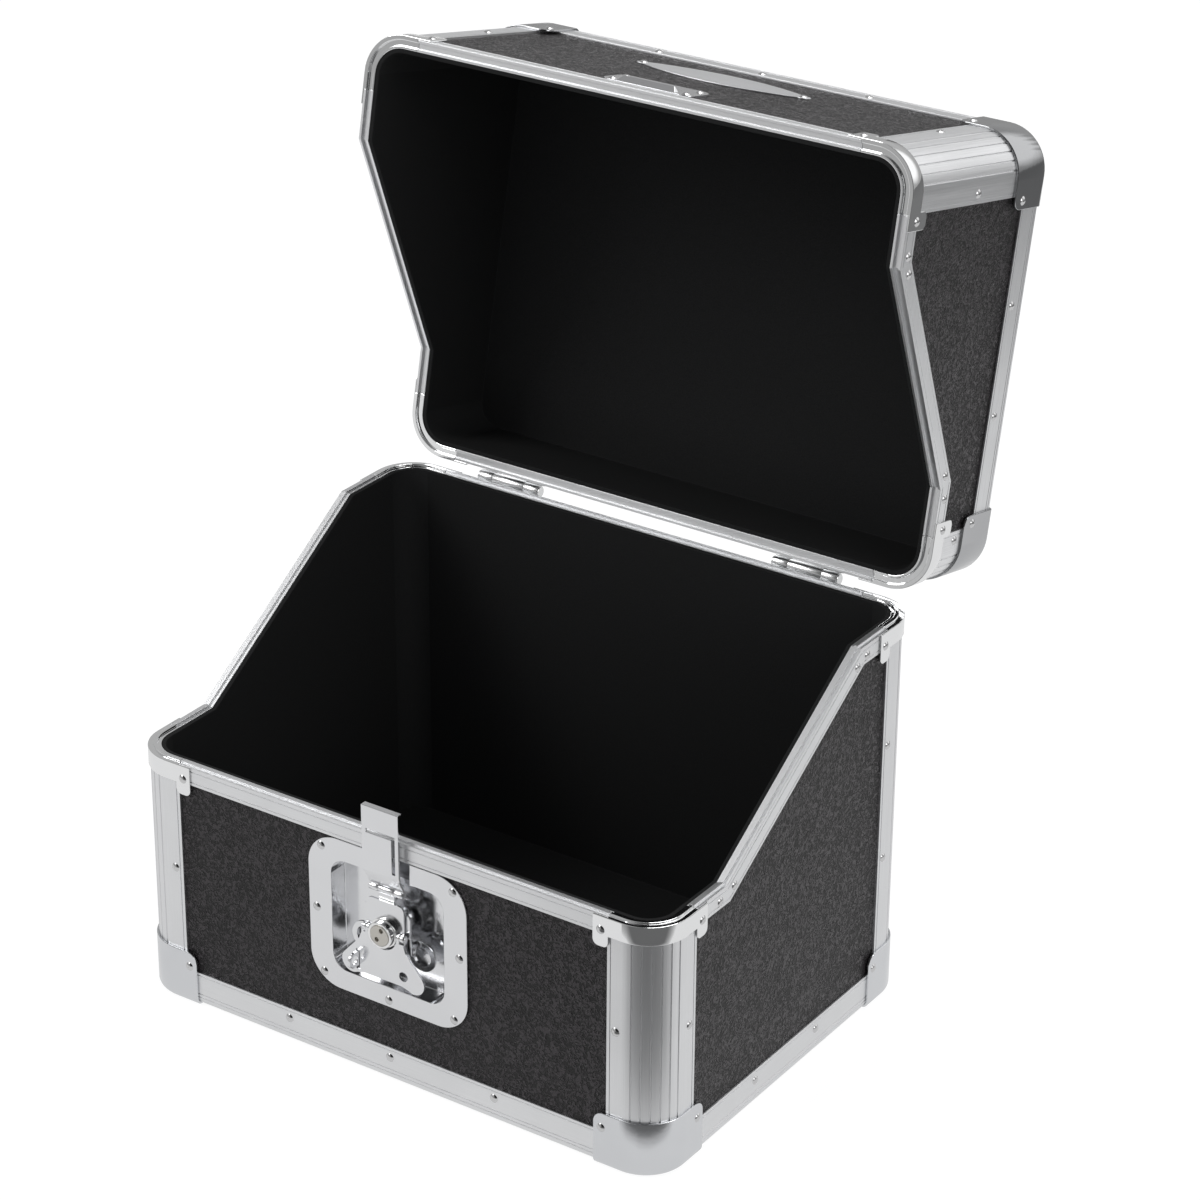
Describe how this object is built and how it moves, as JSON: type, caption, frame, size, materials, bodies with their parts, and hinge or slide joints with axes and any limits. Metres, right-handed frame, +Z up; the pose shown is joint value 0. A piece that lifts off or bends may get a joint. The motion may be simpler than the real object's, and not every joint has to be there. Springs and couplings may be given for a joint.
{
  "type": "record carrying case",
  "caption": "Hard record carrying case with a stepped parting line: low-fronted open bay, deep hinged lid standing open, recessed turn latch with lock and hasp, metal-edged black panels.",
  "frame": {"origin": "under the middle of the box round the case as it stands open, on the plane of the undersides of the four corner cups on which the case stands", "axes": "+X to the case's right as seen from the latch, along the case's width and parallel to the lid's hinge axis; +Y to the rear, from the latch to the hinges; +Z up"},
  "size_m": [0.3942, 0.4292, 0.5606],
  "materials": {
    "laminate": "plywood faced with black pebble-grained laminate",
    "lining": "matt black foam sheet",
    "edging": "satin anodised extrusion with fine flutes",
    "corner_steel": "satin nickel-plated steel",
    "bright_plate": "bright plated steel",
    "latch_plate": "bright plated steel",
    "lock_metal": "bright plated zinc casting",
    "hinge_steel": "zinc-plated steel",
    "rivet": "nickel-plated rivet heads",
    "badge": "bare brushed plate",
    "grip": "black rubber"
  },
  "bodies": {
    "base": {"base_front_panel": "laminate", "base_rear_panel": "laminate", "base_left_panel": "laminate", "base_right_panel": "laminate", "base_floor_panel": "laminate", "base_lining": "lining", "base_posts_front": "edging", "base_posts_rear": "edging", "base_edges_long": "edging", "base_edges_short": "edging", "base_cups_front": "corner_steel", "base_cups_rear": "corner_steel", "base_rim_front": "edging", "base_rim_rear": "edging", "base_rim_left": "edging", "base_rim_right": "edging", "base_rim_corners": "bright_plate", "base_rivets": "rivet", "latch_dish": "latch_plate", "latch_dish_rivets": "rivet", "hinge_base_leaves": "hinge_steel", "hinge_pins": "hinge_steel", "hinge_base_rivets": "rivet"},
    "lid": {"hinge_lid_leaves": "hinge_steel", "hinge_lid_rivets": "rivet", "lid_front_panel": "laminate", "lid_rear_panel": "laminate", "lid_left_panel": "laminate", "lid_right_panel": "laminate", "lid_top_panel": "laminate", "lid_lining": "lining", "lid_posts_front": "edging", "lid_posts_rear": "edging", "lid_edges_long": "edging", "lid_edges_short": "edging", "lid_cups": "corner_steel", "lid_rim_front": "edging", "lid_rim_rear": "edging", "lid_rim_left": "edging", "lid_rim_right": "edging", "lid_rim_corners": "bright_plate", "lid_rivets": "rivet", "latch_keeper": "latch_plate", "badge_plate": "badge", "handle_plate": "bright_plate"},
    "latch_rotor": {"latch_rotor": "latch_plate", "latch_spindle_ring": "latch_plate", "lock_cylinder": "lock_metal", "hasp_leaf": "latch_plate", "hasp_pins": "latch_plate"},
    "lock_plug": {"lock_plug": "lock_metal"},
    "hasp_flap": {"hasp_flap": "latch_plate"},
    "latch_yoke": {"latch_yoke": "latch_plate", "tongue_pin": "latch_plate"},
    "latch_tongue": {"latch_tongue": "latch_plate"},
    "handle": {"handle_bail": "bright_plate", "handle_grip": "grip"}
  },
  "joints": [
    {"name": "lid_hinge", "type": "hinge", "parent": "base", "child": "lid", "pos_m": [0, 0.08386, 0.2622], "axis": [1, 0, 0], "range_deg": [0, 102]},
    {"name": "latch_turn", "type": "hinge", "parent": "base", "child": "latch_rotor", "pos_m": [0, -0.19903, 0.1062], "axis": [0, -1, 0], "range_deg": [0, 180]},
    {"name": "tongue_lift", "type": "slide", "parent": "base", "child": "latch_yoke", "axis": [0, 0, 1], "range_m": [0, 0.01]},
    {"name": "tongue_rock", "type": "hinge", "parent": "latch_yoke", "child": "latch_tongue", "pos_m": [0, -0.19944, 0.1332], "axis": [1, 0, 0], "range_deg": [0, 20]},
    {"name": "hasp_fold", "type": "hinge", "parent": "latch_rotor", "child": "hasp_flap", "pos_m": [0, -0.20303, 0.1062], "axis": [-1, 0, 0], "range_deg": [0, 90]},
    {"name": "key_turn", "type": "hinge", "parent": "latch_rotor", "child": "lock_plug", "pos_m": [0, -0.20803, 0.1062], "axis": [0, -1, 0], "range_deg": [0, 90]},
    {"name": "handle_swing", "type": "hinge", "parent": "lid", "child": "handle", "pos_m": [0, 0.19312, 0.3866], "axis": [1, 0, 0], "range_deg": [-12, 78]}
  ],
  "couplings": [
    {"joint": "tongue_lift", "follows": "latch_turn", "m_per_rad": 0.00318}
  ]
}
